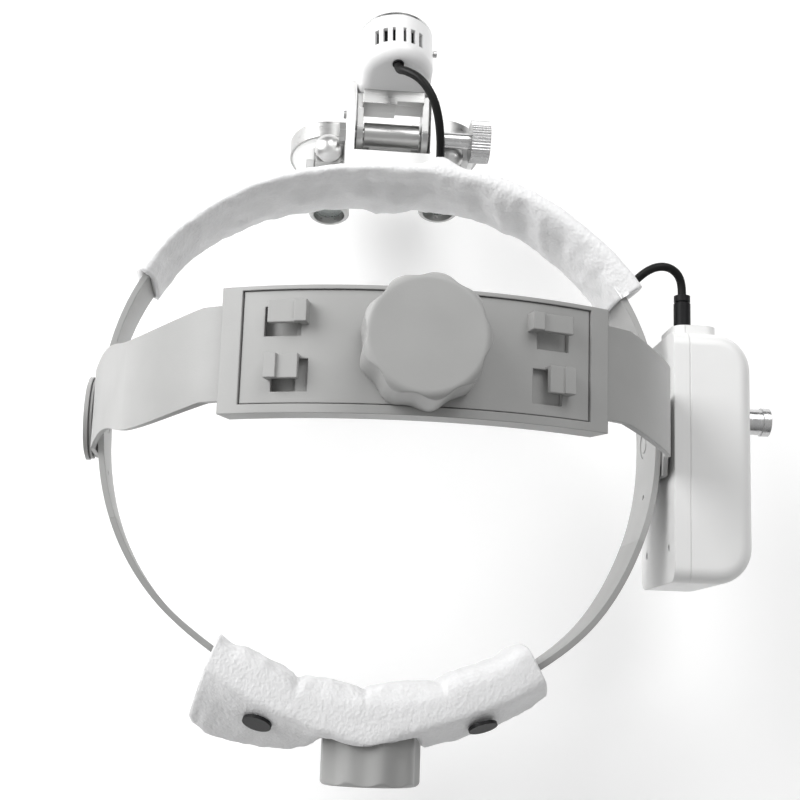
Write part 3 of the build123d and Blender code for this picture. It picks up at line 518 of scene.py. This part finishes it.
def front_relief(angle, offset, z):
    """Puffs and creases of the inner face, the hump over the cable, fine unevenness."""
    move = 0.0
    inside = ease((0.2 - offset) / 2.5)
    for centre, depth, width in FRONT_DENTS:
        move += depth * bell(angle - centre - DENT_LEAN * z, width) * inside * bell(z - 4, 11)
    outside = ease((offset - 0.5) / 2)
    move += 3.6 * bell(angle - HUMP_AT, 3.0) * outside * bell(z - 13, 4.5)
    wobble = noise.noise(Vector((angle * 0.33, z * 0.16, offset * 0.1)))
    ripple = noise.noise(Vector((angle * 1.3, z * 0.5, 7.0)))
    edge = ease(min(angle - FRONT_FROM, FRONT_TO - angle) / 4)
    move += edge * (0.5 * wobble * (inside + 0.5) + 0.16 * ripple)
    if offset < LINING and abs(z) < 12.4:
        move = min(move, LINING - offset)
    return move


def front_pad():
    """Front pad: a puffed leather sleeve round the front of the band."""
    angles = spaced(FRONT_FROM, FRONT_TO, 170)
    sleeve = [(-2.2, -12.2), (-2.2, 0), (-2.2, 12.2), (-0.9, 12.5), (0.4, 12.2), (0.4, 0), (0.4, -12.2),
              (-0.9, -12.5)]
    pad = wrapped_pad("front_pad", angles, front_section, front_relief, sleeve, 72, "headband",
                      ["front_pad_cover", "front_pad_foam"])


# ---- rear pad ------------------------------------------------------------------------------
REAR_FROM = 235.0
REAR_TO = 303.8
KNOB_HOLE_R = 16.7
REAR_SKEW = 0.10      # degrees the left end leans per millimetre of offset
REAR_INNER = [(232, -5.2), (235, -4.6), (238, -3.9), (241.5, -4.9), (245, -4.7), (249, -3.9), (252, -2.9),
              (253.7, -1.5), (255.4, -2.6), (260, -3.0), (264.6, -2.2), (266.5, -1.6), (267.9, -0.6),
              (269.3, -1.7), (272, -2.7), (276.5, -3.3), (281, -3.1), (282.8, -2.6), (283.8, -2.2),
              (285, -3.4), (288, -4.7), (293.3, -5.0), (298.7, -5.2), (302, -6.3), (306, -5.6)]
REAR_STEP = [(235, 0.3), (250, 0.8), (254, 1.2), (259, 3.0), (264, 2.8), (268, 1.2), (272, 2.9),
             (278, 3.0), (284, 1.2), (290, 1.5), (304, 0.3)]
REAR_CREST = [(232, 5.8), (236.7, 7.2), (242, 8.3), (248, 9.4), (254, 10.5), (261, 12.6), (269, 15.4),
              (277, 11.8), (283.7, 9.9), (290.8, 8.4), (298, 7.6), (303, 6.8), (306, 6.4)]
REAR_FLAP = [(234, 17.6), (236, 20.6), (238.5, 21.6), (243, 21.2), (250, 19.8), (255, 18.6),
             (258.2, 16.6), (260.5, 13.8), (263, 13.2), (269, 14.4), (276, 12.4), (278.0, 12.2), (279.2, 15.6),
             (284, 14.6), (292, 13.2), (300, 11.6), (304, 10.2)]
# height of the flaps' lower edge by polar angle
REAR_FLAP_Z = [(234, 0.0), (236.5, -4.0), (240, -5.5), (255, -5.0), (259, -2.0), (262, 9.0),
               (269, 8.5), (276, 9.5), (278.6, 6.5), (280, 4.5), (300, 4.5), (304, 6.0)]


def rear_section(angle):
    """Control points (offset, height) of the rear pad's outline at an angle."""
    inner = table(REAR_INNER, angle)
    crest = table(REAR_CREST, angle)
    flap = table(REAR_FLAP, angle)
    flap_z = table(REAR_FLAP_Z, angle)
    back = min(flap - 1.6, 8.0 + 3.0 * ease((40 - abs(270 - angle)) / 25))
    mid_in = inner - 0.9
    top_in = inner + table(REAR_STEP, angle)
    return [(inner + 0.4, -15.2), (mid_in, -10), (mid_in - 0.3, 0), (mid_in, 8), (inner, 13.4),
            (top_in + 0.4, 16.2), (top_in + 2.4, 17.3), (0.5 * (top_in + crest), 17.5),
            (crest - 1.6, 17.1), (crest + 0.2, 15.2),
            (0.6 * crest + 0.4 * flap + 0.3, 0.6 * 15.2 + 0.4 * flap_z + 0.5),
            (flap - 0.3, flap_z + 1.5), (flap, flap_z + 0.2), (flap - 0.9, flap_z - 0.6),
            (max(back, flap - 3), flap_z - 1.6), (back, min(flap_z - 5, -7)), (back - 0.8, -13.4),
            (3.0, -16.0)]


def rear_relief(angle, offset, z):
    """Soft waves on the inner face and the flaps, fine unevenness."""
    wobble = noise.noise(Vector((angle * 0.4, z * 0.14, 3.0)))
    ripple = noise.noise(Vector((angle * 1.1, z * 0.55, 11.0)))
    inside = ease((1.0 - offset) / 3)
    flap = ease((offset - 9) / 4)
    edge = ease(min(angle - REAR_FROM, REAR_TO - angle) / 4)
    return edge * (0.4 * wobble * inside + 0.3 * wobble * flap + 0.15 * ripple)


def rear_skew(angle, offset):
    """Leans the left end: its outer edge starts further along the ring than its inner edge."""
    return REAR_SKEW * (offset + 4.6) * ease((252 - angle) / 17)


def rear_pad():
    """Rear pad: an inner cushion whose outer skin folds over the housing in two flaps."""
    angles = spaced(REAR_FROM, REAR_TO, 150)
    sleeve = [(-2.6, -13.0), (-2.6, 0), (-2.6, 13.0), (0, 13.4), (2.8, 13.0), (2.8, 0), (2.8, -13.0),
              (0, -13.4)]
    pad = wrapped_pad("rear_pad", angles, rear_section, rear_relief, sleeve, 84, "rear_unit",
                      ["rear_pad_cover", "rear_pad_foam"], skew=rear_skew)
    cut_knob_hole(pad)


def cut_knob_hole(pad):
    """Opens the back of the rear pad round the size knob."""
    bpy.ops.mesh.primitive_cylinder_add(vertices=96, radius=KNOB_HOLE_R * MM, depth=60 * MM,
                                        location=(0, -115 * MM, 0), rotation=(pi / 2, 0, 0))
    tool = bpy.context.object
    cut = pad.modifiers.new("hole", "BOOLEAN")
    cut.operation = "DIFFERENCE"
    cut.solver = "EXACT"
    cut.object = tool
    bpy.context.view_layer.objects.active = pad
    bpy.ops.object.modifier_apply(modifier="hole")
    bpy.data.objects.remove(tool)


front_pad()
rear_pad()


# ---- painted shade: black shell behind the lamp's vents ------------------------------------------
LAMP_AT = (0.0, 127.0, 4.0)
LAMP_DOWN = 20.0      # degrees the lamp points below level
SHADE_SHELL_R = 10.2
SHADE_SHELL_FLOOR = -7.5
SHADE_SHELL_Y = (-11.8, -2.2)


def vent_shade_shell():
    """Dark half shell just inside the housing, painted shade seen through the vents."""
    half = [(SHADE_SHELL_R * cos(radians(a)), SHADE_SHELL_R * sin(radians(a))) for a in range(0, 181, 9)]
    outline = [(SHADE_SHELL_R, SHADE_SHELL_FLOOR)] + half + [(-SHADE_SHELL_R, SHADE_SHELL_FLOOR)]
    inner = [(x * 0.95, z * 0.95) for x, z in reversed(outline)]
    ring = outline + inner
    verts = [(x, y, z) for y in SHADE_SHELL_Y for x, z in ring]
    n = len(ring)
    faces = [(k, (k + 1) % n, n + (k + 1) % n, n + k) for k in range(n)]
    m = len(outline)
    for k in range(m - 1):
        cap = (k, k + 1, n - 2 - k, n - 1 - k)
        faces.append(cap[::-1])
        faces.append(tuple(n + i for i in cap))
    turn = Matrix.Translation(LAMP_AT) @ Matrix.Rotation(radians(-LAMP_DOWN), 4, "X")
    verts = [turn @ Vector(v) for v in verts]
    mesh_piece("vent_shade_shell", verts, faces, mat["black"], "lamp")


vent_shade_shell()

# ---- flexible ends of the straps and tails ---------------------------------------------------------

def flexing_copy(name, node_name, key):
    """A flexible CAD part as a piece of its own: a copy of its mesh in place of the part."""
    mesh = nodes[node_name].data.copy()
    mesh.materials.clear()
    mesh.materials.append(mat[key])
    piece = bpy.data.objects.new(name, mesh)
    bpy.context.scene.collection.objects.link(piece)
    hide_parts(node_name)
    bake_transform(piece)


for side, s in (("left", -1), ("right", 1)):
    flexing_copy(f"strap_{side}", f"strap_arm_{side}", "strap")
    flexing_copy(f"tail_{side}", f"band_tail_{side}", "tail")

# ---- cables ----------------------------------------------------------------------------------
PLUG_LEAD = [
    (74.0, 49.1, 1.0), (76.4, 50.2, 2.8), (79.4, 52.0, 5.0), (82.2, 54.6, 6.8), (85.8, 56.4, 7.6),
    (89.8, 56.6, 7.2), (93.2, 55.0, 5.6), (95.0, 52.0, 4.0), (95.0, 48.0, 4.0),
]
LAMP_LEAD = [
    (0.0, 115.2, 15.75), (0.0, 113.4, 16.4), (2.0, 112.2, 19.2), (6.8, 108.8, 21.7), (10.8, 103.0, 21.8),
    (12.9, 97.2, 20.0), (14.0, 91.6, 17.2), (14.5, 87.2, 13.8), (14.7, 83.9, 10.4), (14.7, 82.6, 8.9),
]
LEAD_R = 1.35


def route_curve(name, route, bevel):
    """A smooth curve with the route's points as its control points."""
    data = bpy.data.curves.new(name, "CURVE")
    data.dimensions = "3D"
    data.resolution_u = 16
    data.bevel_depth = bevel * MM
    data.bevel_resolution = 6
    data.use_fill_caps = bevel > 0
    spline = data.splines.new("NURBS")
    spline.points.add(len(route) - 1)
    for point, place in zip(spline.points, route):
        point.co = (*[c * MM for c in place], 1)
    spline.order_u = 3
    spline.use_endpoint_u = True
    piece = bpy.data.objects.new(name, data)
    bpy.context.scene.collection.objects.link(piece)
    return piece


def path_of(route):
    """Points along the route's smooth curve, in metres."""
    guide = route_curve("guide", route, 0)
    bpy.context.view_layer.update()
    mesh = bpy.data.meshes.new_from_object(guide.evaluated_get(bpy.context.evaluated_depsgraph_get()))
    points = [v.co.copy() for v in mesh.vertices]
    bpy.data.objects.remove(guide)
    return points


def length_of(points):
    """Length along points in metres."""
    return sum((b - a).length for a, b in zip(points, points[1:]))


def tube_along(name, points, radius, sides, material):
    """A closed tube mesh that follows points given in metres."""
    verts, up = [], Vector((0, 0, 1))
    for i, point in enumerate(points):
        along = (points[min(i + 1, len(points) - 1)] - points[max(i - 1, 0)]).normalized()
        side = along.cross(up)
        side = side.normalized() if side.length > 0.05 else along.orthogonal().normalized()
        up = side.cross(along).normalized()
        for k in range(sides):
            a = 2 * pi * k / sides
            verts.append((point + (side * cos(a) + up * sin(a)) * radius * MM) / MM)
    faces = grid_faces(len(points), sides, closed_columns=True)
    faces.append(tuple(range(sides)))
    faces.append(tuple(range(len(verts) - 1, len(verts) - sides - 1, -1)))
    mesh = bpy.data.meshes.new(name)
    mesh.from_pydata([Vector(v) * MM for v in verts], [], faces)
    mesh.materials.append(material)
    for polygon in mesh.polygons:
        polygon.use_smooth = len(polygon.vertices) == 4
    piece = bpy.data.objects.new(name, mesh)
    bpy.context.scene.collection.objects.link(piece)
    fix_normals(piece)
    return piece


def plug_cable():
    """Short lead from under the front pad round to the plug in the battery box."""
    cable = route_curve("plug_cable", PLUG_LEAD, LEAD_R)
    cable.data.materials.append(mat["rubber"])
    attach(cable, "headband")
    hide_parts("plug_lead")
    length = length_of(path_of(PLUG_LEAD))


def lamp_cable():
    """Lead from the lamp down to the front pad."""
    points = path_of(LAMP_LEAD)
    cable = tube_along("lamp_cable", points, LEAD_R, 20, mat["rubber"])
    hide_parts("lamp_lead")
    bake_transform(cable)


plug_cable()
lamp_cable()
